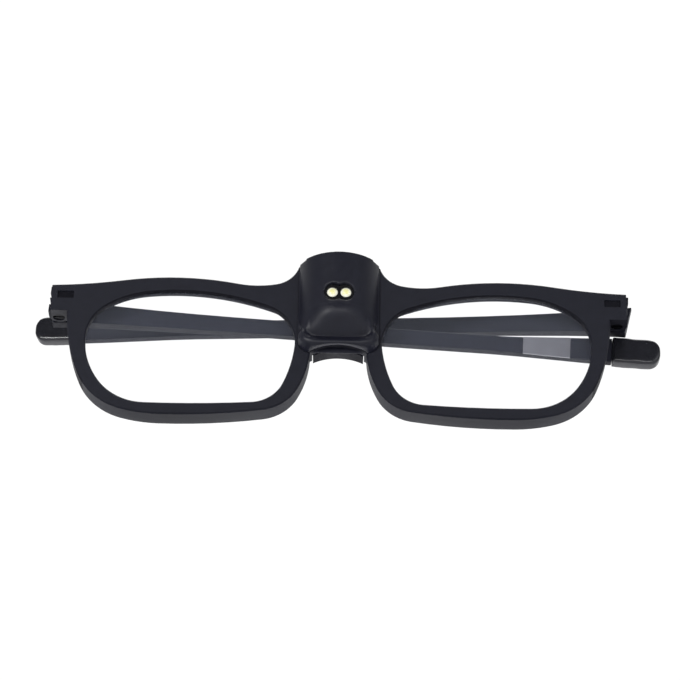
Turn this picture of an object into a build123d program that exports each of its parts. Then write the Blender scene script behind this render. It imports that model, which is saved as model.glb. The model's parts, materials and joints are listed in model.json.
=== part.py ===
from build123d import *

import os
from math import cos, pi, radians, sin, sqrt

# Lighted magnifier glasses with folded temples and a lamp on the bridge, in millimetres.
# X runs across the face, Y backwards towards the wearer and Z up. Y is zero on the back
# face of the lamp's rear cover and Z is zero just below the hinges. Depth is counted
# backwards from the front plane of the rims. Left is the side of negative X.

# Front frame
rim_side = 9.4
nose_side = 11.2
brow_rise = 4.3
rim_base = 3.2
bridge_depth = 7.0
rim_depth = 5.4
bridge_top = 13.0
bridge_half_width = 10.5
bridge_plate = 2.5
nose_arch_drop = 10.3
nose_half_width = 7.2
nose_corner_drop = 12.3
rim_chamfer = 0.35
overrun = 2.0

# Lenses
lens_centre_z = -11.35
lens_half_width = 26.7
lens_half_height = 16.35
lens_lip = 1.8
lens_edge = 1.6
lens_rebate = 1.7
lens_curve_radius = 420.0
lens_clearance = 0.06

# End pieces and hinges
end_top = 6.45
end_bottom = -1.3
end_step = 4.3
hinge_inset = 2.1
hinge_depth = 3.8
lug_radius = 2.6
lug_height = 7.3
knuckle_height = 2.9
knuckle_gap = 0.15
hinge_front_wall = 0.9
hinge_screw_radius = 0.8
hinge_screw_head_radius = 1.5
hinge_screw_head_depth = 0.9
hinge_screw_clearance = 0.05
hinge_screw_cap = 0.6
hinge_screw_slot = 0.4
end_slot_length = 4.2
end_slot_height = 2.1
end_slot_depth = 0.5
end_slot_inset = 3.6
end_slot_z = 3.5

# Temples
left_fold = 0.7
right_fold = 8.6
left_lean = 3.2
right_lean = 2.8
temple_reach = 155.5
temple_root = 3.5
root_slant = 1.6
temple_offset = 3.0
temple_root_height = 7.5
temple_mid_height = 4.5
temple_end_height = 6.9
temple_root_thickness = 2.8
temple_mid_thickness = 2.1
temple_sag = 0.5
web_half_width = 2.0
sleeve_length = 12.6
sleeve_height = 7.4
sleeve_thickness = 3.8
sleeve_round = 3.0
sleeve_fit = 0.05
tongue_length = 8.5
tongue_thickness = 1.3
tongue_height = 4.6
label_length = 12.3
label_from_tip = 35.6
label_thickness = 0.3
label_fit = 0.05

# Lamp housing
housing_top = 13.7
housing_half_width = 10.4
housing_bulge = 6.9
housing_wall = 1.4
housing_side_wall = 1.1
housing_drop = 12.6
housing_step = 0.7
housing_seat = 0.3
seat_gap = 0.05
panel_inset = 0.5
panel_edge = 1.2
dome_top_z = -2.1
groove_z = -9.3
groove_bulge = 2.4
groove_inset = 1.6
dome_corner = 4.6
lip_top_z = -5.5
lip_corner = 3.4
dome_steps = 4
arch_lean = 0.48
arch_half_width = 9.0
arch_corner_drop = 13.2
cavity_floor_drop = 4.5

# Lamps
led_spacing = 3.45
led_z = 2.0
led_radius = 1.35
led_flange_radius = 1.6
led_flange_height = 0.8
led_dome_height = 0.6
led_tip_depth = -6.3
recess_radius = 2.4
recess_spread = 1.45
bezel_seat_depth = -4.9
bezel_flange = 0.7
bezel_flange_width = 0.7
bezel_face_depth = -5.9
bezel_fit = 0.05
pad_margin = 1.2

# Board, switch and button
board_half_width = 5.8
board_thickness = 0.8
board_front_depth = -3.0
board_top = 10.4
board_bottom = -3.4
board_corner = 0.6
post_radius = 0.8
post_x = 4.8
post_z = 9.2
post_low_z = -2.4
switch_width = 4.4
switch_depth = 1.6
switch_height = 1.9
switch_plunger_height = 0.5
switch_plunger_width = 1.8
button_length = 6.0
button_width = 2.2
button_proud = 0.8
button_depth = -2.9
button_gap = 0.15
button_flange = 0.5
button_round = 0.9
button_edge = 0.35
button_flange_thickness = 0.6
button_flange_gap = 0.1
button_travel = 0.5
button_tip_gap = 0.1

# Rear cover, battery and charging socket
cover_half_width = 9.5
cover_waist_half_width = 6.7
cover_shoulder_z = 1.0
cover_waist_z = -5.0
cover_foot_half_width = 6.4
cover_foot_drop = 12.1
cover_arch_drop = 10.6
cover_wall = 1.0
cover_gap = 0.15
cover_edge = 0.6
window_half_width = 4.0
window_top = 6.0
window_bottom = 0.0
battery_half_width = 6.2
battery_bottom = -2.0
battery_top = 7.2
battery_thickness = 2.6
battery_round = 1.2
pad_thickness = 0.2
pad_inset = 1.5
socket_width = 7.5
socket_thickness = 2.45
socket_height = 5.0
socket_wall = 0.3
socket_round = 0.9
socket_tongue = 0.7
socket_gap = 0.08
screw_x = 7.5
screw_z = 10.4
screw_radius = 0.6
screw_head_radius = 1.2
screw_head_height = 0.6
screw_clearance = 0.05
screw_bite = 2.2
boss_radius = 1.5
boss_height = 2.6
screw_slot = 0.3
recess_clearance = 0.1

# Bulge and inset of the lip's sections, from the front plane outwards
lip_steps = [(0.0, 0.0), (2.2, 0.2), (3.3, 0.7), (3.9, 1.3)]

# Shares of the width outside the nose side and of the brow height, along the brow
brow_shares = [(0.079, 0.841), (0.238, 0.836), (0.706, 0.886)]
brow_heading = (0.286, -0.958)

# Shares of the width outside the nose side and of the rim drop, from the end piece to the nose
rim_shares = [(0.871, 0.641), (0.695, 0.954), (0.541, 1.0), (0.122, 0.946), (-0.016, 0.747)]

# Shares of the lens half width and half height, anticlockwise from the outer side of the right lens
lens_shares = [(1.0, 0.144), (0.825, 0.706), (0.404, 0.976), (-0.735, 0.75), (-1.002, 0.057), (-0.897, -0.62),
               (-0.606, -0.955), (0.416, -0.991), (0.849, -0.623)]

# Shares along the arm, then of the added root height, the added end height and the sag there
arm_shares = [(0.055, 0.5, 0.0, 0.25), (0.14, 0.25, 0.0, 0.7), (0.32, 0.0, 0.0, 1.0), (0.66, 0.0, 0.0, 1.0),
              (0.82, 0.0, 0.08, 0.8), (0.945, 0.0, 0.75, 0.3)]

# Places worked out from the sizes above
lens_centre_x = nose_side + lens_half_width
front_half_width = lens_centre_x + lens_half_width + rim_side
brow_height = lens_centre_z + lens_half_height + brow_rise
rim_drop = lens_half_height - lens_centre_z + rim_base
hinge_x = front_half_width - hinge_inset
front_y = -bridge_depth
front_plane = Plane(origin=(0, front_y, 0), x_dir=(1, 0, 0), z_dir=(0, -1, 0))
hinge_z = (end_top + end_bottom) / 2
housing_inner_top = housing_top - housing_wall
pocket_radius = hinge_depth - hinge_front_wall
hinge_screw_length = lug_height - hinge_screw_cap
arm_end = temple_reach - sleeve_length
board_back_depth = board_front_depth + board_thickness
plunger_top = housing_inner_top - button_flange_gap - button_flange_thickness - button_travel - button_tip_gap
cover_back_depth = bridge_depth - cover_wall
label_middle = temple_reach - label_from_tip + label_length / 2
socket_y = front_y + bridge_plate + socket_thickness / 2 + socket_gap
pad_half_width = recess_spread + recess_radius + pad_margin
pad_half_height = recess_radius + pad_margin
sides = [-1, 1]
folds = {-1: left_fold, 1: right_fold}
leans = {-1: radians(left_lean), 1: radians(right_lean)}


def at_depth(depth):
    """The plane across the face at a depth behind the rims' front, facing forwards."""
    return front_plane.offset(-depth)


def hinge_plane(side, turn=0.0):
    """The plane across a hinge, its X along the frame and its Y backwards, turned about the axis."""
    axis = (sin(leans[side]), 0, cos(leans[side]))
    along = (cos(leans[side]), 0, -sin(leans[side]))
    flat = Plane(origin=(side * hinge_x, front_y + hinge_depth, hinge_z), x_dir=along, z_dir=axis)
    return flat.rotated((0, 0, turn))


def upright(plane, back):
    """The plane along a temple's side, a distance behind its hinge plane's origin."""
    return Plane(origin=plane.origin + plane.y_dir * back, x_dir=plane.x_dir, z_dir=-plane.y_dir)


def cover_points(grow, top, drop):
    """The cover's side walls from its left foot over the top to its right foot, grown by a gap."""
    right = [
        (cover_foot_half_width + grow, -drop),
        (cover_waist_half_width + grow, cover_waist_z),
        (cover_half_width + grow, cover_shoulder_z),
        (cover_half_width + grow, top),
    ]
    return [(-x, z) for x, z in right] + right[::-1]


def tangent_arcs(start, points, heading):
    """Draws arcs through points, each one going on in the direction of the last."""
    for point in points:
        arc = TangentArc(start, point, tangent=heading)
        start, heading = arc @ 1, arc % 1
    return arc


def outwards(share):
    """The place across the face at a share of the width outside the nose side."""
    return nose_side + share * (front_half_width - nose_side)


def lens_outline(side, grow):
    """Draws a lens outline, grown outwards by a distance."""
    half_width = lens_half_width + grow
    half_height = lens_half_height + grow
    points = [(side * (lens_centre_x + u * half_width), lens_centre_z + v * half_height) for u, v in lens_shares]
    tangent_arcs(points[0], points[1:] + points[:1], (0, 1))


def face_panel(inset, bottom, corner):
    """A rounded panel across the housing's face that runs on past its top."""
    top = housing_top + 2 * corner
    with Locations((0, (top + bottom) / 2)):
        RectangleRounded(2 * (housing_half_width - inset), top - bottom, corner)


# Front frame: both rims, the bridge plate and the end pieces with their hinge lugs, one moulding
def lens_cut(side, depth, grow, length):
    """Cuts a lens outline backwards from a depth."""
    with BuildSketch(at_depth(depth)) as opening:
        with BuildLine():
            lens_outline(side, grow)
        make_face()
    extrude(opening.sketch, amount=-length, mode=Mode.SUBTRACT)


with BuildPart() as front_frame:
    with BuildSketch(front_plane):
        with BuildLine():
            top_edge = Line((0, bridge_top), (bridge_half_width, bridge_top))
            brow_points = [(outwards(u), v * brow_height) for u, v in brow_shares]
            brow = tangent_arcs(top_edge @ 1, [*brow_points, (front_half_width, end_top)], brow_heading)
            end_edge = Line(brow @ 1, (front_half_width, end_bottom))
            end_base = Line(end_edge @ 1, (front_half_width - end_step, end_bottom))
            rim_points = [(outwards(u), -v * rim_drop) for u, v in rim_shares]
            rim = tangent_arcs(end_base @ 1, [*rim_points, (nose_half_width, -nose_corner_drop)], (0, -1))
            arch = TangentArc((0, -nose_arch_drop), rim @ 1, tangent=(1, 0))
            Line(arch @ 0, top_edge @ 0)
        make_face()
        mirror(about=Plane.YZ)
    extrude(amount=-rim_depth)
    for side in sides:
        lens_cut(side, -overrun, 0, rim_depth + 2 * overrun)
    curves = front_frame.faces().sort_by(Axis.Y)[0].edges().filter_by(GeomType.CIRCLE)
    chamfer([curve for curve in curves if abs((curve @ 0.5).X) > nose_half_width], rim_chamfer)
    for side in sides:
        lens_cut(side, lens_lip, lens_rebate, rim_depth)
    with BuildSketch(front_plane):
        face_panel(-seat_gap, -housing_drop - seat_gap, lip_corner + seat_gap)
    extrude(amount=-housing_seat, mode=Mode.SUBTRACT)
    with BuildSketch(at_depth(bridge_plate)):
        with BuildLine():
            Polyline(*cover_points(cover_gap, bridge_top + overrun, cover_foot_drop + overrun), close=True)
        make_face()
    extrude(amount=-rim_depth, mode=Mode.SUBTRACT)
    with BuildSketch(front_plane):
        with Locations((0, (window_top + window_bottom) / 2)):
            Rectangle(2 * window_half_width, window_top - window_bottom)
        with Locations((screw_x, screw_z), (-screw_x, screw_z)):
            Circle(screw_radius + screw_clearance)
    extrude(amount=-bridge_plate, mode=Mode.SUBTRACT)
    with BuildSketch(at_depth(housing_seat)):
        with Locations(*[(x, z) for x in (-post_x, post_x) for z in (post_z, post_low_z)]):
            Circle(post_radius)
    extrude(amount=housing_seat - board_back_depth)
    for side in sides:
        with BuildSketch(front_plane):
            with Locations((side * (front_half_width - end_slot_inset), end_slot_z)):
                Rectangle(end_slot_length, end_slot_height)
        extrude(amount=-end_slot_depth, mode=Mode.SUBTRACT)
        flat = hinge_plane(side)
        with BuildSketch(flat.offset(-lug_height / 2)):
            Circle(lug_radius)
            with Locations((0, -lug_radius / 2)):
                Rectangle(2 * lug_radius, lug_radius)
        extrude(amount=lug_height)
        with BuildSketch(flat.offset(-knuckle_height / 2 - knuckle_gap)):
            Circle(pocket_radius)
            with Locations((side * pocket_radius, pocket_radius / 2)):
                Rectangle(4 * pocket_radius, pocket_radius)
            with Locations((0, pocket_radius)):
                Rectangle(2 * pocket_radius, 2 * pocket_radius)
            with Locations((side * 2 * pocket_radius, 0)):
                Rectangle(4 * pocket_radius, 2 * pocket_radius)
        extrude(amount=knuckle_height + 2 * knuckle_gap, mode=Mode.SUBTRACT)
        with BuildSketch(flat.offset(-lug_height / 2)):
            Circle(hinge_screw_radius + hinge_screw_clearance)
        extrude(amount=hinge_screw_length, mode=Mode.SUBTRACT)
        with BuildSketch(flat.offset(-lug_height / 2 - overrun)):
            Circle(hinge_screw_head_radius + hinge_screw_clearance)
        extrude(amount=overrun + hinge_screw_head_depth, mode=Mode.SUBTRACT)


# Lens: a flange that seats in the rebate from behind, domed on both faces inside the opening
def make_lens(side):
    reach = sqrt(lens_half_width ** 2 + lens_half_height ** 2)
    crown = lens_curve_radius - sqrt(lens_curve_radius ** 2 - reach ** 2)
    middle_y = front_y + lens_lip + lens_edge / 2
    shift = lens_curve_radius - crown - lens_edge / 2
    with BuildPart() as lens:
        with Locations((side * lens_centre_x, middle_y + shift, lens_centre_z)):
            Sphere(lens_curve_radius)
        with Locations((side * lens_centre_x, middle_y - shift, lens_centre_z)):
            Sphere(lens_curve_radius, mode=Mode.INTERSECT)
        with BuildSketch(at_depth(-overrun)):
            with BuildLine():
                lens_outline(side, -lens_clearance)
            make_face()
        extrude(amount=-rim_depth - 2 * overrun, mode=Mode.INTERSECT)
        with BuildSketch(at_depth(lens_lip)):
            with BuildLine():
                lens_outline(side, lens_rebate - lens_clearance)
            make_face()
        extrude(amount=-lens_edge)
    return lens


# Temple, folded, in its hinge's own plane: a knuckle on the screw, a web and a tapering arm
def arm_edge(run, half):
    """The points of the arm's upper or lower edge, from its slanting root to its end."""
    points = [(run * ((1 - half) * root_slant / 2 - temple_root), half * temple_root_height / 2)]
    for along, root, end, sag in arm_shares:
        height = (temple_mid_height + root * (temple_root_height - temple_mid_height)
                  + end * (temple_end_height - temple_mid_height))
        points.append((run * along * arm_end, half * height / 2 - sag * temple_sag))
    points.append((run * arm_end, half * temple_end_height / 2))
    return points


def arm_side(run):
    """The arm's outline seen from its side."""
    with BuildLine() as outline:
        upper = Spline(*arm_edge(run, 1))
        lower = Spline(*arm_edge(run, -1))
        Line(upper @ 0, lower @ 0)
        Line(upper @ 1, lower @ 1)
    make_face(outline.edges())


def make_temple(side):
    run = -side
    rest = hinge_plane(side, run * folds[side])
    near = temple_offset
    far = temple_offset + temple_root_thickness
    thin = temple_offset + temple_mid_thickness
    corner = temple_root_thickness / 2
    tongue_gap = (temple_mid_thickness - tongue_thickness) / 2
    with BuildPart() as temple:
        with BuildSketch(upright(rest, near)):
            arm_side(run)
        extrude(amount=-temple_root_thickness)
        with BuildSketch(rest.offset(-temple_root_height)):
            with BuildLine():
                Polyline(
                    (-run * temple_root, near),
                    (run * arm_end, near),
                    (run * arm_end, thin),
                    (run * arm_shares[2][0] * arm_end, thin),
                    (run * arm_shares[0][0] * arm_end, far),
                    (-run * (temple_root - corner), far),
                    (-run * temple_root, far - corner),
                    close=True,
                )
            make_face()
        extrude(amount=2 * temple_root_height, mode=Mode.INTERSECT)
        with BuildSketch(rest.offset(-knuckle_height / 2)):
            Circle(lug_radius)
            with Locations((0, (near + corner) / 2)):
                Rectangle(2 * web_half_width, near + corner)
        extrude(amount=knuckle_height)
        with BuildSketch(rest.offset(-knuckle_height / 2)):
            Circle(hinge_screw_radius + hinge_screw_clearance)
        extrude(amount=knuckle_height, mode=Mode.SUBTRACT)
        with BuildSketch(upright(rest, near + tongue_gap)):
            with Locations((run * (arm_end + (tongue_length - tongue_gap) / 2), 0)):
                Rectangle(tongue_length + tongue_gap, tongue_height)
        extrude(amount=-tongue_thickness)
        if side < 0:
            with BuildSketch(upright(rest, near)):
                with Locations((run * label_middle, 0)):
                    Rectangle(label_length, 2 * temple_root_height)
            extrude(amount=-label_thickness, mode=Mode.SUBTRACT)
    return temple


# Tip sleeve: a rounded cap pushed over the tongue at the arm's end
def make_sleeve(side):
    run = -side
    rest = hinge_plane(side, run * folds[side])
    middle = temple_offset + temple_mid_thickness / 2
    with BuildPart() as sleeve:
        with BuildSketch(upright(rest, middle - sleeve_thickness / 2)):
            with BuildLine():
                half = sleeve_height / 2
                start = Line((run * arm_end, -half), (run * arm_end, half))
                top = Line(start @ 1, (run * (temple_reach - sleeve_round), half))
                upper = RadiusArc(top @ 1, (run * temple_reach, half - sleeve_round), run * sleeve_round)
                nose = Line(upper @ 1, (run * temple_reach, sleeve_round - half))
                lower = RadiusArc(nose @ 1, (run * (temple_reach - sleeve_round), -half), run * sleeve_round)
                Line(lower @ 1, start @ 0)
            make_face()
        extrude(amount=-sleeve_thickness)
        with BuildSketch(upright(rest, middle - tongue_thickness / 2 - sleeve_fit)):
            with Locations((run * (arm_end + (tongue_length + sleeve_fit) / 2), 0)):
                Rectangle(tongue_length + sleeve_fit, tongue_height + 2 * sleeve_fit)
        extrude(amount=-tongue_thickness - 2 * sleeve_fit, mode=Mode.SUBTRACT)
    return sleeve


# Hinge screw: a slotted head in the lower lug and a shank up through the knuckle
def make_hinge_screw(side):
    base = hinge_plane(side).offset(-lug_height / 2)
    with BuildPart() as screw:
        with BuildSketch(base):
            Circle(hinge_screw_head_radius)
        extrude(amount=hinge_screw_head_depth)
        with BuildSketch(base):
            Circle(hinge_screw_radius)
        extrude(amount=hinge_screw_length)
        with BuildSketch(base):
            Rectangle(2 * hinge_screw_head_radius, hinge_screw_slot)
        extrude(amount=hinge_screw_head_depth / 2, mode=Mode.SUBTRACT)
    return screw


# Label: a blank pale plate as high as the arm, set flush in the left temple's inner face
with BuildPart() as temple_label:
    with BuildSketch(upright(hinge_plane(-1, left_fold), temple_offset)):
        arm_side(1)
        with Locations((label_middle, 0)):
            Rectangle(label_length - 2 * label_fit, 2 * temple_root_height, mode=Mode.INTERSECT)
    extrude(amount=-label_thickness)


def segment(half_width, bulge, edge, back):
    """A plan that bulges forwards from an edge height, with its flat back behind the front plane."""
    with BuildLine() as outline:
        arc = ThreePointArc((-half_width, front_y - edge), (0, front_y - bulge), (half_width, front_y - edge))
        Polyline(arc @ 0, (-half_width, front_y + back), (half_width, front_y + back), arc @ 1)
    make_face(outline.edges())


def twin_circles(radius, spread):
    """Two circles side by side at the lamps' height."""
    with Locations((-spread, led_z), (spread, led_z)):
        Circle(radius)


# Hollow of the lamp housing: leaves a flat pad behind the lamps' recess and two screw bosses
with BuildPart() as lamp_cavity:
    with BuildSketch(Plane.XY.offset(-cavity_floor_drop)):
        segment(housing_half_width - panel_inset - housing_side_wall, housing_bulge - housing_wall, 0, housing_seat)
    extrude(amount=housing_inner_top + cavity_floor_drop)
    with BuildSketch(at_depth(bezel_seat_depth)):
        with Locations((0, led_z)):
            Rectangle(2 * pad_half_width, 2 * pad_half_height)
    extrude(amount=housing_bulge, mode=Mode.SUBTRACT)
    with BuildSketch(at_depth(housing_seat)):
        with Locations((screw_x, screw_z), (-screw_x, screw_z)):
            Circle(boss_radius)
    extrude(amount=housing_seat + boss_height, mode=Mode.SUBTRACT)

# Face of the lamp housing: a panel that bulges forwards and rounds over into a dome at its foot
with BuildPart() as lamp_face:
    with BuildSketch(front_plane):
        face_panel(panel_inset, groove_z, dome_corner + groove_inset - panel_inset)
    for step in range(dome_steps + 1):
        turn = pi / 2 * step / dome_steps
        with BuildSketch(at_depth(-groove_bulge - (housing_bulge - groove_bulge) * sin(turn))):
            face_panel(
                panel_inset,
                dome_top_z + (groove_z - dome_top_z) * cos(turn),
                dome_corner + (groove_inset - panel_inset) * cos(turn),
            )
    loft(ruled=True)
    with BuildSketch(Plane.XY.offset(-housing_drop)):
        segment(housing_half_width - panel_inset, housing_bulge, panel_edge, housing_seat)
    extrude(amount=housing_drop + housing_top, mode=Mode.INTERSECT)

# Lamp housing: a seat in the bridge, a lower lip with a flared groove above it, and the face
with BuildPart() as lamp_housing:
    for bulge, inset in lip_steps:
        with BuildSketch(at_depth(-bulge)):
            with Locations((0, (lip_top_z - housing_drop) / 2)):
                RectangleRounded(
                    2 * (housing_half_width - inset), lip_top_z + housing_drop - 2 * inset, lip_corner - inset
                )
    loft(ruled=True)
    for bulge, grow in [(groove_bulge, 0), (housing_bulge, housing_bulge - groove_bulge)]:
        with BuildSketch(at_depth(-bulge)):
            face_panel(groove_inset - grow, groove_z - grow, dome_corner + grow)
    loft(ruled=True, mode=Mode.SUBTRACT)
    with BuildSketch(at_depth(housing_seat)):
        face_panel(0, -housing_drop, lip_corner)
    extrude(amount=housing_seat + housing_step)
    with BuildSketch(Plane.XY.offset(housing_top)):
        Rectangle(4 * housing_half_width, 4 * housing_bulge + 4 * bridge_depth)
    extrude(amount=4 * lip_corner, mode=Mode.SUBTRACT)
    add(lamp_face.part)
    with BuildSketch(front_plane):
        with BuildLine():
            under = ThreePointArc(
                (-arch_half_width, -arch_corner_drop), (0, -nose_arch_drop), (arch_half_width, -arch_corner_drop)
            )
            Polyline(under @ 0, (-arch_half_width, -2 * housing_drop), (arch_half_width, -2 * housing_drop), under @ 1)
        make_face()
    extrude(amount=housing_bulge, dir=(0, -1, -arch_lean), mode=Mode.SUBTRACT)
    add(lamp_cavity.part, mode=Mode.SUBTRACT)
    with BuildSketch(at_depth(bezel_seat_depth)):
        twin_circles(recess_radius, recess_spread)
    extrude(amount=housing_bulge, mode=Mode.SUBTRACT)
    with BuildSketch(at_depth(bezel_seat_depth)):
        twin_circles(recess_radius + bezel_flange_width + bezel_fit, recess_spread)
    extrude(amount=bezel_seat_depth, mode=Mode.SUBTRACT)
    with BuildSketch(Plane.XY.offset(housing_inner_top)):
        with Locations((0, front_y + button_depth)):
            RectangleRounded(button_length + 2 * button_gap, button_width + 2 * button_gap, button_round + button_gap)
    extrude(amount=housing_wall, mode=Mode.SUBTRACT)
    with BuildSketch(at_depth(housing_seat)):
        with Locations((screw_x, screw_z), (-screw_x, screw_z)):
            Circle(screw_radius + screw_clearance)
    extrude(amount=housing_seat + screw_bite, mode=Mode.SUBTRACT)

# Lamp bezel: a dark surround in the recess, held by its flange, with a hole for each lamp
with BuildPart() as led_bezel:
    with BuildSketch(at_depth(bezel_seat_depth)):
        twin_circles(recess_radius + bezel_flange_width, recess_spread)
    extrude(amount=-bezel_flange)
    with BuildSketch(at_depth(bezel_seat_depth)):
        twin_circles(recess_radius - bezel_fit, recess_spread)
    extrude(amount=bezel_seat_depth - bezel_face_depth)
    with BuildSketch(at_depth(bezel_face_depth)):
        twin_circles(led_radius + bezel_fit, led_spacing / 2)
    extrude(amount=-housing_bulge, mode=Mode.SUBTRACT)


# Lamp: a round body with a flange on the board and a domed front
def make_led(side):
    axis_x = side * led_spacing / 2
    base_y = front_y + board_front_depth
    tip_y = front_y + led_tip_depth
    with BuildPart() as led:
        with BuildSketch(Plane.XY.offset(led_z)):
            with BuildLine():
                outline = Polyline(
                    (axis_x, tip_y),
                    (axis_x, base_y),
                    (axis_x + led_flange_radius, base_y),
                    (axis_x + led_flange_radius, base_y - led_flange_height),
                    (axis_x + led_radius, base_y - led_flange_height),
                    (axis_x + led_radius, tip_y + led_dome_height),
                )
                TangentArc(outline @ 0, outline @ 1, tangent=(1, 0))
            make_face()
        revolve(axis=Axis((axis_x, 0, led_z), (0, 1, 0)))
    return led


# Board: upright behind the lamps, on four posts of the bridge plate
with BuildPart() as circuit_board:
    with BuildSketch(at_depth(board_front_depth)):
        with Locations((0, (board_top + board_bottom) / 2)):
            RectangleRounded(2 * board_half_width, board_top - board_bottom, board_corner)
    extrude(amount=-board_thickness)

# Switch: on the board under the button, with its plunger up
with BuildPart() as tact_switch:
    switch_y = front_y + board_front_depth - switch_depth / 2
    with BuildSketch(Plane.XY.offset(plunger_top - switch_plunger_height)):
        with Locations((0, switch_y)):
            Rectangle(switch_width, switch_depth)
    extrude(amount=-switch_height)
    with BuildSketch(Plane.XY.offset(plunger_top)):
        with Locations((0, switch_y)):
            Rectangle(switch_plunger_width, switch_depth / 2)
    extrude(amount=-switch_plunger_height)

# Power button: a rounded bar through the housing's top, kept in by a flange below the wall
with BuildPart() as power_button:
    with BuildSketch(Plane.XY.offset(housing_inner_top - button_flange_gap)):
        with Locations((0, front_y + button_depth)):
            RectangleRounded(button_length, button_width, button_round)
    extrude(amount=button_flange_gap + housing_wall + button_proud)
    chamfer(power_button.faces().sort_by(Axis.Z)[-1].edges(), button_edge)
    with BuildSketch(Plane.XY.offset(housing_inner_top - button_flange_gap)):
        with Locations((0, front_y + button_depth)):
            RectangleRounded(button_length + 2 * button_flange, button_width + 2 * button_flange, button_round)
    extrude(amount=-button_flange_thickness)

# Rear cover: a tapering shell behind the bridge whose arched foot is the nose saddle
with BuildPart() as rear_cover:
    with BuildSketch(at_depth(bridge_plate)) as cover_outline:
        with BuildLine():
            walls = Polyline(*cover_points(0, bridge_top, cover_foot_drop))
            ThreePointArc(walls @ 0, (0, -cover_arch_drop), walls @ 1)
        make_face()
    extrude(amount=bridge_plate - bridge_depth)
    back_edges = rear_cover.faces().sort_by(Axis.Y)[-1].edges()
    chamfer(back_edges, cover_edge)
    with BuildSketch(at_depth(bridge_plate)):
        add(cover_outline.sketch)
        offset(amount=-cover_wall, kind=Kind.INTERSECTION)
    extrude(amount=bridge_plate - cover_back_depth, mode=Mode.SUBTRACT)
    with BuildSketch(at_depth(bridge_plate)):
        with Locations((screw_x, screw_z), (-screw_x, screw_z)):
            Circle(boss_radius)
    extrude(amount=bridge_plate - cover_back_depth)
    with BuildSketch(at_depth(bridge_plate)):
        with Locations((screw_x, screw_z), (-screw_x, screw_z)):
            Circle(screw_radius + screw_clearance)
    extrude(amount=bridge_plate - bridge_depth, mode=Mode.SUBTRACT)
    with BuildSketch(at_depth(bridge_depth)):
        with Locations((screw_x, screw_z), (-screw_x, screw_z)):
            Circle(screw_head_radius + recess_clearance)
    extrude(amount=screw_head_height + recess_clearance, mode=Mode.SUBTRACT)
    with BuildSketch(Plane.XY.offset(bridge_top - cover_wall)):
        with Locations((0, socket_y)):
            RectangleRounded(socket_width + 2 * socket_gap, socket_thickness + 2 * socket_gap, socket_round)
    extrude(amount=cover_wall, mode=Mode.SUBTRACT)

# Cover screws: pan heads sunk in the cover's back, shanks through the plate into the bosses
with BuildPart() as cover_screws:
    seat_depth = bridge_depth - screw_head_height - recess_clearance
    with BuildSketch(at_depth(seat_depth)):
        with Locations((screw_x, screw_z), (-screw_x, screw_z)):
            Circle(screw_radius)
    extrude(amount=seat_depth + screw_bite)
    with BuildSketch(at_depth(seat_depth)):
        with Locations((screw_x, screw_z), (-screw_x, screw_z)):
            Circle(screw_head_radius)
    extrude(amount=-screw_head_height)
    with BuildSketch(at_depth(seat_depth + screw_head_height)):
        with Locations((screw_x, screw_z), (-screw_x, screw_z)):
            Rectangle(2 * screw_head_radius, screw_slot)
            Rectangle(screw_slot, 2 * screw_head_radius)
    extrude(amount=screw_head_height / 2, mode=Mode.SUBTRACT)

# Battery: a flat rounded cell on a strip of foam against the cover's back wall
with BuildPart() as battery:
    with BuildSketch(at_depth(cover_back_depth - pad_thickness)):
        with Locations((0, (battery_top + battery_bottom) / 2)):
            RectangleRounded(2 * battery_half_width, battery_top - battery_bottom, battery_round)
    extrude(amount=battery_thickness)

with BuildPart() as battery_pad:
    with BuildSketch(at_depth(cover_back_depth)):
        with Locations((0, (battery_top + battery_bottom) / 2)):
            Rectangle(2 * (battery_half_width - pad_inset), battery_top - battery_bottom - 2 * pad_inset)
    extrude(amount=pad_thickness)

# Charging socket: a metal shell open at the top with a contact tongue, on the bridge plate's back
with BuildPart() as charging_socket:
    with BuildSketch(Plane.XY.offset(bridge_top)):
        with Locations((0, socket_y)):
            RectangleRounded(socket_width, socket_thickness, socket_round)
    extrude(amount=-socket_height)
    with BuildSketch(Plane.XY.offset(bridge_top)):
        with Locations((0, socket_y)):
            RectangleRounded(socket_width - 2 * socket_wall, socket_thickness - 2 * socket_wall,
                             socket_round - socket_wall)
    extrude(amount=socket_wall - socket_height, mode=Mode.SUBTRACT)
    with BuildSketch(Plane.XY.offset(bridge_top - socket_height)):
        with Locations((0, socket_y)):
            Rectangle(socket_width / 2, socket_tongue)
    extrude(amount=socket_height - socket_wall - socket_tongue)

pieces = {
    "front_frame": front_frame,
    "left_lens": make_lens(-1),
    "right_lens": make_lens(1),
    "left_temple": make_temple(-1),
    "right_temple": make_temple(1),
    "left_tip_sleeve": make_sleeve(-1),
    "right_tip_sleeve": make_sleeve(1),
    "left_hinge_screw": make_hinge_screw(-1),
    "right_hinge_screw": make_hinge_screw(1),
    "temple_label": temple_label,
    "lamp_housing": lamp_housing,
    "led_bezel": led_bezel,
    "left_led": make_led(-1),
    "right_led": make_led(1),
    "circuit_board": circuit_board,
    "tact_switch": tact_switch,
    "power_button": power_button,
    "rear_cover": rear_cover,
    "cover_screws": cover_screws,
    "battery": battery,
    "battery_pad": battery_pad,
    "charging_socket": charging_socket,
}

os.makedirs("parts", exist_ok=True)
for name, piece in pieces.items():
    piece.part.label = name
    export_step(piece.part, f"parts/{name}.step")
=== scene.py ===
import json
from math import cos, exp, radians, sin, sqrt

import bmesh
import bpy
from mathutils import Matrix, Vector


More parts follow.
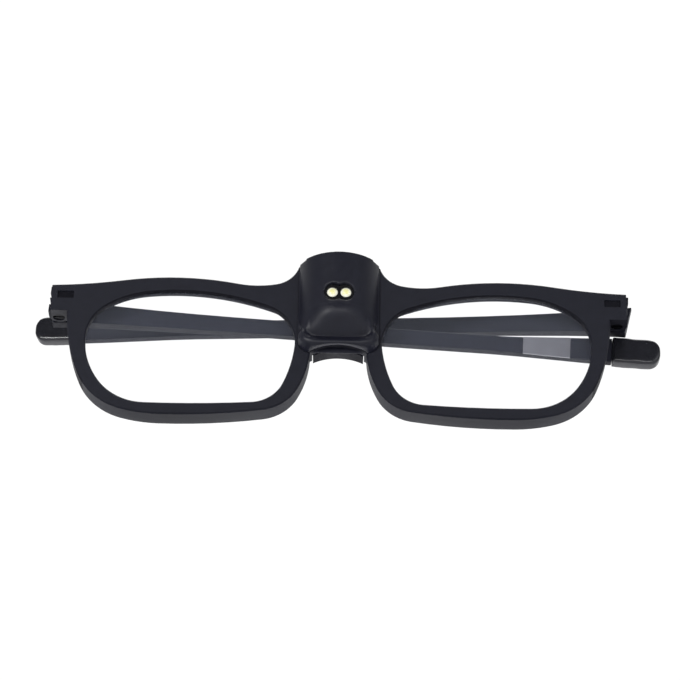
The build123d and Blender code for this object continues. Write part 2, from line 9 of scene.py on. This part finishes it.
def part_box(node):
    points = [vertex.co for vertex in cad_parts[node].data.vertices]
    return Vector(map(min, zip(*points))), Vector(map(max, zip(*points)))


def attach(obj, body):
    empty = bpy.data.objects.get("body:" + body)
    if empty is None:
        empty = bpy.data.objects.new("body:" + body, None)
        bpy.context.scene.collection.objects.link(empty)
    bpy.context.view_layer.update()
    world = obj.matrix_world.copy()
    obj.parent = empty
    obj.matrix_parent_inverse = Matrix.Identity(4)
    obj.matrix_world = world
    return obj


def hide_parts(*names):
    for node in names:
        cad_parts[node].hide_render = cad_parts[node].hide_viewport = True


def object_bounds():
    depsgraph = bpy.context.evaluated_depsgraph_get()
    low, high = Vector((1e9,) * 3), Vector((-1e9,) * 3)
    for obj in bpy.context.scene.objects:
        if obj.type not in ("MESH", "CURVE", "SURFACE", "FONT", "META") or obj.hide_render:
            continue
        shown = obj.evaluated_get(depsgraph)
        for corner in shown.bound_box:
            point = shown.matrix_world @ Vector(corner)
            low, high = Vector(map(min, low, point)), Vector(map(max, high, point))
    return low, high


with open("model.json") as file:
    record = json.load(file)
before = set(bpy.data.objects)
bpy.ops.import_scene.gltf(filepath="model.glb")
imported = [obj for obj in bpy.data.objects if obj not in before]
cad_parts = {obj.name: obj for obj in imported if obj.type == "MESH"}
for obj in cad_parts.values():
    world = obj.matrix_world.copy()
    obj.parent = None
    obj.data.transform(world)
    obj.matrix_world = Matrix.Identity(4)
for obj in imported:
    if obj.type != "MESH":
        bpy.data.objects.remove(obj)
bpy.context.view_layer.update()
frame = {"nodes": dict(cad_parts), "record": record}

# Lighted magnifier glasses: the moulded front, the arms folded behind it and the lamp on the
# bridge are dressed here. Lengths are in metres, in the part's own frame.
sides = ("left", "right")

# Camera
view_target = Vector((0.00042, -0.004, -0.007))
view_distance = 0.7
view_rise = radians(30)
view_roll = radians(1)
lens_millimetres = 144.5
sensor_millimetres = 36

# Mouldings: the radius of their rounded corners, the steps of a round, and how their flat
# faces and corners are told apart
front_round = 0.00045
arm_round = 0.0005
shell_round = 0.0003
small_round = 0.0001
round_steps = 3
small_round_steps = 2
merge_distance = 1e-6
flat_angle = radians(0.5)
corner_angle = radians(32)
shading_angle = radians(38)
smoothing_share = 0.5

# Arm tips: soft all round
tip_voxel = 0.00025
tip_passes = 26

# Faces with painted shade, a dark rough finish standing in for the shade that falls there: the front's end
# slots, the lugs' undersides, the openings' walls above the lenses, the arms' lower edges and the nose saddle
painted_shade_nodes = ("front_frame", "left_temple", "right_temple", "rear_cover")
facing_share = 0.5
front_face = -0.007
slot_least_depth = 0.0003
slot_most_depth = 3 * slot_least_depth
slot_margin = 0.001
slot_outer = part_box("front_frame")[1].x - slot_margin
slot_bottom = 0.0022
wall_bottom = -0.022
wall_inner = 0.011
wall_outer = 0.067
wall_shade_rate = 1.6
lug_shade_share = 0.75
saddle_top = -0.008

# Lamp shell: its dome, groove and lip flow into each other
shell_voxel = 0.0002
shell_passes = 3
dome_passes = 60
crease_passes = 8
end_passes = 40
dome_zone_top = 0.0006
dome_zone_back = -0.0082
dome_start = -0.0018
dome_end = -0.0093
dome_foot = -0.0094
dome_curve = 1.45
dome_half_width = 0.0088
dome_fade = 0.0014
bulge_height = 0.0006
bulge_level = -0.0043
bulge_reach = 0.0021
bulge_width = 0.0058
lip_end_start = 0.0072
lip_end_top = -0.0086
ear_start = 0.0086
ear_depth = 0.0032

# Patterns: their repeats per metre, and the stretch of a noise that is used
mottle_scale = 420
rub_scale = 700
stain_and_shade_scale = 700
speck_scale = 2300
dust_scale = 1500
noise_middle = (0.3, 0.7)
rub_range = (0.35, 0.8)
speck_range = (0.77, 0.82)
dust_range = (0.76, 0.82)

# Moulded plastic: how far its colour and roughness wander, and what wear does to it
pale_share = 1.1
deep_share = 0.93
rough_play = 0.03
rub_share = 0.22
rub_polish = 0.1
speck_share = 0.3
grain_strength = 0.5
worn_grey = (0.09, 0.09, 0.1)
# Painted shade: the dark, rough, low-shine finish mixed in patches on faces where shade falls
painted_shade_black = (0.006, 0.006, 0.009)
painted_shade_rough = 0.9
painted_shade_shine = 0.1
painted_shade_range = (0.7, 0.9)

# Lenses: the share of light that their coated faces throw back, and their wipe marks and dust
lens_clear = (0.995, 0.997, 1.0)
lens_gloss = (0.75, 0.8, 0.95)
lens_rough = 0.04
lens_index = 1.25
lens_haze = 0.03
wipe_turn = radians(24)
wipe_stretch = (60, 400, 2600)
wipe_range = (0.62, 0.8)
wipe_share = 0.006
dust_share = 0.02

# Lamps: their axes, the yellow chip under each dome, and the strength of the faint glow painted on them
lamp_low, lamp_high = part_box("right_led")
lamp_axis = (lamp_low.x + lamp_high.x) / 2
lamp_height = (lamp_low.z + lamp_high.z) / 2
lamp_stretch = (1, 0.2, 1)
chip_rim = (0.0004, 0.0011)
chip_waver = 0.0009
chip_yellow = (0.74, 0.71, 0.34)
lamp_cream = (0.86, 0.85, 0.72)
painted_glow_level = 0.36

# Screws and other metal: how dark a stain is, and what the lines add to the roughness
stain_share = 0.6
line_roughness = 0.18

# Colours of the board, the cell's foil, the foam pad and the label
lacquer_green = (0.012, 0.12, 0.04)
track_green = (0.03, 0.22, 0.08)
foil_deep = (0.42, 0.44, 0.47)
foil_bright = (0.62, 0.63, 0.66)
foam_black = (0.01, 0.01, 0.012)
foam_grey = (0.05, 0.05, 0.055)
label_deep = (0.16, 0.16, 0.182)
label_pale = (0.2, 0.2, 0.225)

# Room: the floor fades to white far off, and the light rises from the front of the room to its back
floor_gap = 0.0003
floor_size = 4
floor_fade = (0.28, 0.85)
floor_mottle_scale = 12
floor_deep = (0.9, 0.9, 0.9)
floor_pale = (0.93, 0.93, 0.93)
front_level = 0.095
room_level = 0.32
white_level = 1.05
rise_range = (-0.35, 0.45)


class Link:
    """An output of a shader node that can be used in sums."""

    def __init__(self, tree, socket):
        self.tree = tree
        self.socket = socket

    def maths(self, operation, *values):
        return node(self.tree, "ShaderNodeMath", {"operation": operation}, dict(enumerate(values)))

    def __add__(self, other):
        return self.maths("ADD", self, other)

    def __radd__(self, other):
        return self.maths("ADD", other, self)

    def __sub__(self, other):
        return self.maths("SUBTRACT", self, other)

    def __rsub__(self, other):
        return self.maths("SUBTRACT", other, self)

    def __mul__(self, other):
        return self.maths("MULTIPLY", self, other)

    def __rmul__(self, other):
        return self.maths("MULTIPLY", other, self)

    def __abs__(self):
        return self.maths("ABSOLUTE", self)

    def or_more(self, other):
        return self.maths("MAXIMUM", self, other)


def node(tree, kind, settings, inputs, output=0):
    """Adds a node: its settings first, then the value or link of each input."""
    made = tree.nodes.new(kind)
    for name, value in settings.items():
        setattr(made, name, value)
    for name, value in inputs.items():
        if isinstance(value, Link):
            tree.links.new(value.socket, made.inputs[name])
        else:
            made.inputs[name].default_value = value
    return Link(tree, made.outputs[output])


def surface(tree):
    """Places on the piece, in metres."""
    return node(tree, "ShaderNodeTexCoord", {}, {}, "Object")


def stretched(tree, scale, turn=(0, 0, 0)):
    """Places on the piece, turned and stretched for a pattern that runs one way."""
    return node(tree, "ShaderNodeMapping", {}, {"Vector": surface(tree), "Rotation": turn, "Scale": scale})


def along(tree, place, axis):
    return node(tree, "ShaderNodeSeparateXYZ", {}, {0: place}, axis)


def marked(tree, name):
    """The value that the piece's faces carry under a name, and 0 where they carry none."""
    return node(tree, "ShaderNodeAttribute", {"attribute_name": name}, {}, "Fac")


def ray(tree, kind):
    return node(tree, "ShaderNodeLightPath", {}, {}, f"Is {kind} Ray")


def noise(tree, scale, detail=2.0, roughness=0.5, place=None):
    values = {"Vector": place or surface(tree), "Scale": scale, "Detail": detail, "Roughness": roughness}
    return node(tree, "ShaderNodeTexNoise", {}, values, "Fac")


def spread(tree, value, low, high, to_low=0.0, to_high=1.0):
    """Maps a value from one range to another, clamped."""
    ends = {"Value": value, "From Min": low, "From Max": high, "To Min": to_low, "To Max": to_high}
    return node(tree, "ShaderNodeMapRange", {"clamp": True}, ends)


def blend_colours(tree, factor, first, second):
    settings = {"data_type": "RGBA", "blend_type": "MIX", "clamp_factor": True}
    return node(tree, "ShaderNodeMix", settings, {0: factor, 6: first, 7: second}, 2)


def opaque(colour, share=1.0):
    """A colour, or a share of it, as a shader takes it."""
    return (*[part * share for part in colour], 1)


def bump(tree, height, strength, distance):
    return node(tree, "ShaderNodeBump", {}, {"Height": height, "Strength": strength, "Distance": distance})


def principled(tree, **inputs):
    named = {name.replace("_", " "): value for name, value in inputs.items()}
    return node(tree, "ShaderNodeBsdfPrincipled", {}, named)


def mixed(tree, factor, first, second):
    return node(tree, "ShaderNodeMixShader", {}, {0: factor, 1: first, 2: second})


def finish(name, make):
    """A material whose shader is made by a function of its node tree."""
    material = bpy.data.materials.new(name)
    material.use_nodes = True
    tree = material.node_tree
    tree.nodes.clear()
    shader = make(tree)
    output = tree.nodes.new("ShaderNodeOutputMaterial")
    tree.links.new(shader.socket, output.inputs["Surface"])
    return material


def moulded(colour, rough, grain_size, grain_depth, worn=worn_grey, shine=0.3, coat=0.0):
    """Moulded plastic: a fine spark texture, faint mottling, sparse dust specks and rubbed corners."""

    def make(tree):
        mottle = noise(tree, mottle_scale, detail=3)
        grain = noise(tree, 1 / grain_size, roughness=0.6)
        specks = spread(tree, noise(tree, speck_scale, detail=1), *speck_range)
        patches = spread(tree, noise(tree, rub_scale, detail=4), *rub_range)
        rubbed = marked(tree, "corner") * patches * rub_share
        tone = spread(tree, mottle, *noise_middle)
        clean = blend_colours(tree, tone, opaque(colour, deep_share), opaque(colour, pale_share))
        used = blend_colours(tree, rubbed + specks * speck_share, clean, opaque(worn))
        roughness = spread(tree, mottle, *noise_middle, rough - rough_play, rough + rough_play)
        return principled(tree, Base_Color=used, Roughness=roughness - rubbed * rub_polish,
                          Specular_IOR_Level=shine, Coat_Weight=coat, Coat_Roughness=0.2,
                          Normal=bump(tree, grain, grain_strength, grain_depth))

    return make


def part_painted_shade(make):
    """A moulded plastic with painted shade: dark, rough and dull in patches on the faces marked as shaded."""

    def both(tree):
        # Painted shade: the marked faces turn to a dark, rough finish, in patches
        patches = spread(tree, noise(tree, stain_and_shade_scale, detail=3), *noise_middle, *painted_shade_range)
        flat = principled(tree, Base_Color=opaque(painted_shade_black), Roughness=painted_shade_rough,
                          Specular_IOR_Level=painted_shade_shine)
        return mixed(tree, marked(tree, "painted_shade") * patches, make(tree), flat)

    return both


def clear_lens(tree):
    """Lens plastic: clear with a thin surface reflection, a faint haze and hairline wipe marks."""
    wiped = stretched(tree, wipe_stretch, (0, wipe_turn, 0))
    wipes = spread(tree, noise(tree, scale=1, place=wiped), *wipe_range)
    dust = spread(tree, noise(tree, dust_scale, detail=1), *dust_range)
    through = node(tree, "ShaderNodeBsdfTransparent", {}, {"Color": opaque(lens_clear)})
    gloss = principled(tree, Base_Color=opaque(lens_gloss), Roughness=lens_rough, Specular_IOR_Level=1.0)
    fresnel = node(tree, "ShaderNodeFresnel", {}, {"IOR": lens_index})
    outside = 1 - node(tree, "ShaderNodeNewGeometry", {}, {}, "Backfacing")
    thrown_back = outside * (fresnel + wipes * wipe_share + dust * dust_share + lens_haze)
    return mixed(tree, thrown_back, through, gloss)


def lamp_glow(tree):
    """Lamp: a clear dome over a yellow square chip, paler towards its rim, with a faint painted glow in the
    same colours.
    """
    mottle = noise(tree, scale=1800, detail=2, place=stretched(tree, lamp_stretch))
    beside = abs(abs(along(tree, surface(tree), "X")) - lamp_axis)
    above = abs(along(tree, surface(tree), "Z") - lamp_height)
    rim = spread(tree, beside.or_more(above) + (mottle - 0.5) * chip_waver, *chip_rim)
    colour = blend_colours(tree, rim, opaque(chip_yellow), opaque(lamp_cream))
    # The emission is a painted glow that brightens the chip and its rim
    return principled(tree, Base_Color=colour, Roughness=0.12, Coat_Weight=0.6, Emission_Color=colour,
                      Emission_Strength=painted_glow_level, Normal=bump(tree, mottle, strength=0.1, distance=0.00005))


def brushed_metal(colour, rough, stretch):
    """Metal with fine lines along one way and a few darker stains."""

    def make(tree):
        lines = noise(tree, scale=1, detail=3, place=stretched(tree, stretch))
        stain = spread(tree, noise(tree, stain_and_shade_scale, detail=3), 0.35, 0.75)
        base = blend_colours(tree, stain, opaque(colour), opaque(colour, stain_share))
        roughness = spread(tree, lines, *noise_middle, to_low=rough, to_high=rough + line_roughness)
        return principled(tree, Base_Color=base, Metallic=1.0, Roughness=roughness,
                          Normal=bump(tree, lines, strength=0.15, distance=0.00002))

    return make


def printed_board(tree):
    """Board: green lacquer with paler tracks."""
    layout = {"Vector": surface(tree), "Scale": 420.0, "Mortar Size": 0.06, "Brick Width": 0.7,
              "Row Height": 0.35}
    tracks = node(tree, "ShaderNodeTexBrick", {"offset": 0.5}, layout, "Fac")
    base = blend_colours(tree, tracks, opaque(lacquer_green), opaque(track_green))
    roughness = spread(tree, noise(tree, scale=900), *noise_middle, to_low=0.25, to_high=0.4)
    return principled(tree, Base_Color=base, Roughness=roughness,
                      Normal=bump(tree, tracks, strength=0.2, distance=0.00003))


def cell_foil(tree):
    """Cell: creased grey foil."""
    creases = noise(tree, scale=600, detail=5, roughness=0.65)
    folds = spread(tree, creases, 0.35, 0.7)
    base = blend_colours(tree, folds, opaque(foil_deep), opaque(foil_bright))
    roughness = spread(tree, creases, *noise_middle, to_low=0.25, to_high=0.45)
    return principled(tree, Base_Color=base, Metallic=0.8, Roughness=roughness,
                      Normal=bump(tree, creases, strength=0.4, distance=0.0001))


def open_foam(tree):
    """Pad: black foam of open cells."""
    cells = node(tree, "ShaderNodeTexVoronoi", {}, {"Vector": surface(tree), "Scale": 3000.0}, "Distance")
    walls = spread(tree, cells, 0.0, 0.6)
    base = blend_colours(tree, walls, opaque(foam_black), opaque(foam_grey))
    roughness = spread(tree, cells, 0.0, 0.8, to_low=0.8, to_high=0.95)
    return principled(tree, Base_Color=base, Roughness=roughness,
                      Normal=bump(tree, cells, strength=0.8, distance=0.0002))


def blank_label(tree):
    """Label: pale matt film, slightly mottled."""
    mottle = noise(tree, scale=500, detail=4)
    tone = spread(tree, mottle, 0.3, 0.75)
    base = blend_colours(tree, tone, opaque(label_deep), opaque(label_pale))
    roughness = spread(tree, mottle, *noise_middle, to_low=0.5, to_high=0.62)
    return principled(tree, Base_Color=base, Roughness=roughness,
                      Normal=bump(tree, noise(tree, scale=4000), strength=0.2, distance=0.00002))


front_plastic = moulded(
    colour=(0.0078, 0.0085, 0.0158), rough=0.55, grain_size=0.0002, grain_depth=0.00002)
arm_plastic = moulded(
    colour=(0.0105, 0.0115, 0.022), rough=0.48, grain_size=0.00022, grain_depth=0.00002)
tip_plastic = moulded(
    colour=(0.0095, 0.0098, 0.014), rough=0.24, grain_size=0.0006, grain_depth=0.0000005,
    worn=(0.1, 0.1, 0.11), shine=0.5, coat=0.25)
shell_plastic = moulded(
    colour=(0.0075, 0.0081, 0.0158), rough=0.44, grain_size=0.0002, grain_depth=0.00001, shine=0.35)
surround_plastic = moulded(
    colour=(0.006, 0.006, 0.007), rough=0.22, grain_size=0.0003, grain_depth=0.00001,
    worn=(0.08, 0.08, 0.08), shine=0.5)
button_plastic = moulded(
    colour=(0.03, 0.031, 0.036), rough=0.45, grain_size=0.0002, grain_depth=0.00002,
    worn=(0.15, 0.15, 0.16))
blackened_steel = brushed_metal(colour=(0.008, 0.008, 0.01), rough=0.5, stretch=(3000, 3000, 300))

finishes = {
    "frame_plastic": finish("matt_front_plastic", part_painted_shade(front_plastic)),
    "temple_plastic": finish("matt_arm_plastic", part_painted_shade(arm_plastic)),
    "tip_plastic": finish("glossy_tip_plastic", tip_plastic),
    "housing_plastic": finish("satin_shell_plastic", part_painted_shade(shell_plastic)),
    "lens": finish("clear_lens_plastic", clear_lens),
    "bezel": finish("dark_surround_plastic", surround_plastic),
    "lamp": finish("warm_lamp", lamp_glow),
    "board": finish("green_board", printed_board),
    "button": finish("grey_button_plastic", button_plastic),
    "steel": finish("blackened_steel", blackened_steel),
    "cell": finish("cell_foil", cell_foil),
    "foam": finish("open_foam", open_foam),
    "label": finish("blank_label", blank_label),
}
slots = {part["node"]: part["material_slot"] for part in frame["record"]["subparts"]}
bodies = frame["record"]["behaviour"]["bodies"]
body_of_node = {name: body for body, names in bodies.items() for name in names}
for name, piece in frame["nodes"].items():
    piece.data.materials.clear()
    piece.data.materials.append(finishes[slots[name]])


def merged_copy(cad_node):
    """A CAD node's surface with its loose triangles joined."""
    mesh = bmesh.new()
    mesh.from_mesh(frame["nodes"][cad_node].data)
    bmesh.ops.remove_doubles(mesh, verts=mesh.verts, dist=merge_distance)
    return mesh


def placed(name, mesh):
    """A new object at the origin with a mesh's shape."""
    data = bpy.data.meshes.new(name)
    mesh.to_mesh(data)
    mesh.free()
    made = bpy.data.objects.new(name, data)
    bpy.context.collection.objects.link(made)
    return made


def dressed(name, cad_node, mesh):
    """The object of a finished mesh, in its node's place, body and finish."""
    piece = placed(name, mesh)
    piece.data.polygons.foreach_set("use_smooth", [True] * len(piece.data.polygons))
    piece.data.materials.append(finishes[slots[cad_node]])
    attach(piece, body_of_node[cad_node])
    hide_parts(cad_node)
    return piece


def front_painted_shade(place, normal):
    """How much painted shade a face of the front gets: in an end slot, under a lug, or above a lens, darker
    the more it faces down.
    """
    beside = abs(place.x)
    depth = place.y - front_face
    in_slot = (wall_outer < beside < slot_outer and place.z > slot_bottom
               and normal.y < -facing_share and slot_least_depth < depth < slot_most_depth)
    under_lug = beside > wall_outer and normal.z < -facing_share and place.z < slot_bottom
    over_lens = wall_inner < beside < wall_outer and place.z > wall_bottom
    return max(in_slot, lug_shade_share * under_lug, over_lens * min(1, max(0, -wall_shade_rate * normal.z)))


def mark_painted_shade_faces(mesh, cad_node):
    """Marks the faces that get painted shade: the front's recesses and walls facing down, the faces of the
    arms and rear cover that face down, and the nose saddle.
    """
    painted_shade = mesh.faces.layers.float.new("painted_shade")
    for face in mesh.faces:
        place = face.calc_center_median()
        if cad_node == "front_frame":
            face[painted_shade] = front_painted_shade(place, face.normal)
        else:
            in_saddle = cad_node == "rear_cover" and place.z < saddle_top
            face[painted_shade] = face.normal.z < -facing_share or in_saddle


def moulding(name, cad_node, rounding, steps=round_steps):
    """A piece with the shape of a CAD node, its corners rounded and its curves smooth."""
    mesh = merged_copy(cad_node)
    bmesh.ops.dissolve_limit(mesh, angle_limit=flat_angle, verts=mesh.verts, edges=mesh.edges)
    corners = [edge for edge in mesh.edges if edge.is_manifold and edge.calc_face_angle() > corner_angle]
    corner = mesh.faces.layers.float.new("corner")
    if rounding:
        rounded = bmesh.ops.bevel(mesh, geom=corners, offset=rounding, offset_type="OFFSET", segments=steps,
                                  profile=0.5, affect="EDGES", clamp_overlap=True, material=-1)
        for face in rounded["faces"]:
            face[corner] = 1
    # The faces where shade falls are marked for painted shade
    if cad_node in painted_shade_nodes:
        mark_painted_shade_faces(mesh, cad_node)
    piece = dressed(name, cad_node, mesh)
    piece.data.set_sharp_from_angle(angle=shading_angle)
    even = piece.modifiers.new("even_shading", "WEIGHTED_NORMAL")
    even.keep_sharp = True


def soften(mesh, verts, passes):
    for _ in range(passes):
        bmesh.ops.smooth_vert(mesh, verts=verts, factor=smoothing_share,
                              use_axis_x=True, use_axis_y=True, use_axis_z=True)


def fine_skin(cad_node, voxel):
    """A CAD node's surface in fine even faces."""
    block = placed("block", merged_copy(cad_node))
    even = block.modifiers.new("even_faces", "REMESH")
    even.mode = "VOXEL"
    even.voxel_size = voxel
    fine = bpy.data.meshes.new_from_object(block.evaluated_get(bpy.context.evaluated_depsgraph_get()))
    bpy.data.objects.remove(block)
    mesh = bmesh.new()
    mesh.from_mesh(fine)
    return mesh


def soft_tip(name, cad_node):
    """An arm's tip with every corner rounded over."""
    mesh = fine_skin(cad_node, tip_voxel)
    soften(mesh, mesh.verts, tip_passes)
    dressed(name, cad_node, mesh)


def swell_dome(dome, front_limit):
    """Gives the dome below the lamps its crown: it leans over towards its foot and bulges at its middle."""
    for vert in dome:
        fall = (dome_start - vert.co.z) / (dome_start - dome_end)
        if 0 < fall < 1 and vert.co.y < dome_foot:
            round_over = sqrt(1 - fall ** 2)
            lean_over = 1 - fall ** dome_curve
            middle = min(1, max(0, (dome_half_width - abs(vert.co.x)) / dome_fade))
            share = 1 + middle * (lean_over / round_over - 1)
            vert.co.y = dome_foot + (vert.co.y - dome_foot) * share
            beside = vert.co.x / bulge_width
            above = (vert.co.z - bulge_level) / bulge_reach
            vert.co.y = max(front_limit, vert.co.y - bulge_height * exp(-beside ** 2 - above ** 2))


def flowing_shell(name, cad_node):
    """The lamp shell, whose dome, groove and lip are smoothed into each other."""
    shell_low, shell_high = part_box(cad_node)
    mesh = fine_skin(cad_node, shell_voxel)
    soften(mesh, mesh.verts, shell_passes)
    dome = [vert for vert in mesh.verts if vert.co.z < dome_zone_top and vert.co.y < dome_zone_back]
    soften(mesh, dome, dome_passes)
    swell_dome(dome, shell_low.y)
    soften(mesh, dome, crease_passes)
    lip_ends = [vert for vert in mesh.verts
                if abs(vert.co.x) > lip_end_start and vert.co.z < lip_end_top and vert.co.y < dome_zone_back]
    ear_bottom = shell_high.z - ear_depth
    ears = [vert for vert in mesh.verts if abs(vert.co.x) > ear_start and vert.co.z > ear_bottom]
    soften(mesh, lip_ends + ears, end_passes)
    dressed(name, cad_node, mesh)


moulding("front_moulding", "front_frame", front_round)
for side in sides:
    moulding(f"{side}_magnifier", f"{side}_lens", 0)
for side in sides:
    moulding(f"{side}_arm_moulding", f"{side}_temple", arm_round)
for side in sides:
    soft_tip(f"{side}_tip", f"{side}_tip_sleeve")
flowing_shell("lamp_shell", "lamp_housing")
moulding("lamp_surround", "led_bezel", small_round, small_round_steps)
for side in sides:
    moulding(f"{side}_lamp", f"{side}_led", 0)
moulding("press_button", "power_button", 0)
moulding("cover_shell", "rear_cover", shell_round)
for side in sides:
    moulding(f"{side}_pivot_screw", f"{side}_hinge_screw", small_round, small_round_steps)
moulding("cover_screw_pair", "cover_screws", small_round, small_round_steps)


def pale_floor(tree):
    """Floor: pale with the object's shadow, white far off, and gone where it is seen from below."""
    mottle = noise(tree, floor_mottle_scale)
    colour = blend_colours(tree, mottle, opaque(floor_deep), opaque(floor_pale))
    plain = node(tree, "ShaderNodeBsdfDiffuse", {}, {"Color": colour})
    distance = node(tree, "ShaderNodeVectorMath", {"operation": "LENGTH"}, {0: surface(tree)}, "Value")
    far = spread(tree, distance, *floor_fade) * ray(tree, "Camera")
    faded = mixed(tree, far, plain, node(tree, "ShaderNodeEmission", {}, {}))
    below = node(tree, "ShaderNodeNewGeometry", {}, {}, "Backfacing")
    gone = node(tree, "ShaderNodeBsdfTransparent", {}, {})
    return mixed(tree, below.or_more(ray(tree, "Shadow")), faded, gone)


def pale_room(tree):
    """Room light: white where the camera or a lens looks, dim in front of the object, white behind it."""
    direction = along(tree, node(tree, "ShaderNodeTexCoord", {}, {}, "Generated"), "Y")
    behind = spread(tree, direction, *rise_range)
    level = front_level + behind * (room_level - front_level)
    glossy = ray(tree, "Glossy") * behind * (1 - room_level)
    white = ray(tree, "Camera").or_more(ray(tree, "Transmission"))
    strength = (white_level * white).or_more(level + glossy)
    return node(tree, "ShaderNodeBackground", {}, {"Color": (1, 1, 1, 1), "Strength": strength})


def lamp(name, place, target, size, power, colour=(1, 1, 1)):
    """A soft studio lamp aimed at a place."""
    data = bpy.data.lights.new(name, "AREA")
    data.shape = "RECTANGLE"
    data.size, data.size_y = size
    data.energy = power
    data.color = colour
    made = bpy.data.objects.new(name, data)
    bpy.context.collection.objects.link(made)
    made.visible_camera = False
    made.location = place
    made.rotation_euler = (Vector(target) - Vector(place)).to_track_quat("-Z", "Y").to_euler()


def camera_below():
    """The camera in front of and below the glasses, as they were photographed."""
    forward = Vector((0, cos(view_rise), sin(view_rise)))
    level_up = Vector((0, -sin(view_rise), cos(view_rise)))
    level_right = Vector((1, 0, 0))
    right = level_right * cos(view_roll) + level_up * sin(view_roll)
    up = level_up * cos(view_roll) - level_right * sin(view_roll)
    data = bpy.data.cameras.new("camera")
    data.lens = lens_millimetres
    data.sensor_width = sensor_millimetres
    made = bpy.data.objects.new("camera", data)
    bpy.context.collection.objects.link(made)
    turn = Matrix((right, up, -forward)).transposed()
    made.matrix_world = Matrix.Translation(view_target - forward * view_distance) @ turn.to_4x4()
    return made


# Floor
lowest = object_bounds()[0].z
sheet = bmesh.new()
bmesh.ops.create_grid(sheet, x_segments=1, y_segments=1, size=floor_size)
bmesh.ops.translate(sheet, verts=sheet.verts, vec=(0, 0, lowest - floor_gap))
floor = placed("studio_floor", sheet)
floor.data.materials.append(finish("pale_floor", pale_floor))

# Room
world = bpy.data.worlds.new("white_room")
bpy.context.scene.world = world
world.use_nodes = True
room = world.node_tree
room.nodes.clear()
backdrop = pale_room(room)
room.links.new(backdrop.socket, room.nodes.new("ShaderNodeOutputWorld").inputs["Surface"])

# Lamps
lamp("low_lamp", place=(-0.1, -0.04, -0.6), target=(0, 0, -0.01), size=(0.9, 0.6), power=4.0)
lamp("back_low_lamp", place=(0, 0.55, -0.34), target=(0, 0, -0.02), size=(0.7, 0.25), power=5.9)
lamp("front_left_lamp", place=(-0.84, -1.6, 0.0), target=(0, 0, -0.005), size=(0.34, 0.34), power=13.0)
lamp("front_middle_lamp", place=(0.27, -1.75, -0.06), target=(0.03, 0, -0.01), size=(0.6, 0.09), power=4.2)
lamp("front_right_lamp", place=(1.35, -1.62, 0.27), target=(0, 0, 0), size=(1.3, 1.3), power=5.8,
     colour=(0.93, 0.96, 1.0))
lamp("top_lamp", place=(0.0, 0.05, 0.6), target=(0, 0, 0), size=(0.6, 0.5), power=2.6)

# Picture
bpy.context.scene.camera = camera_below()
bpy.context.scene.view_settings.view_transform = "Standard"
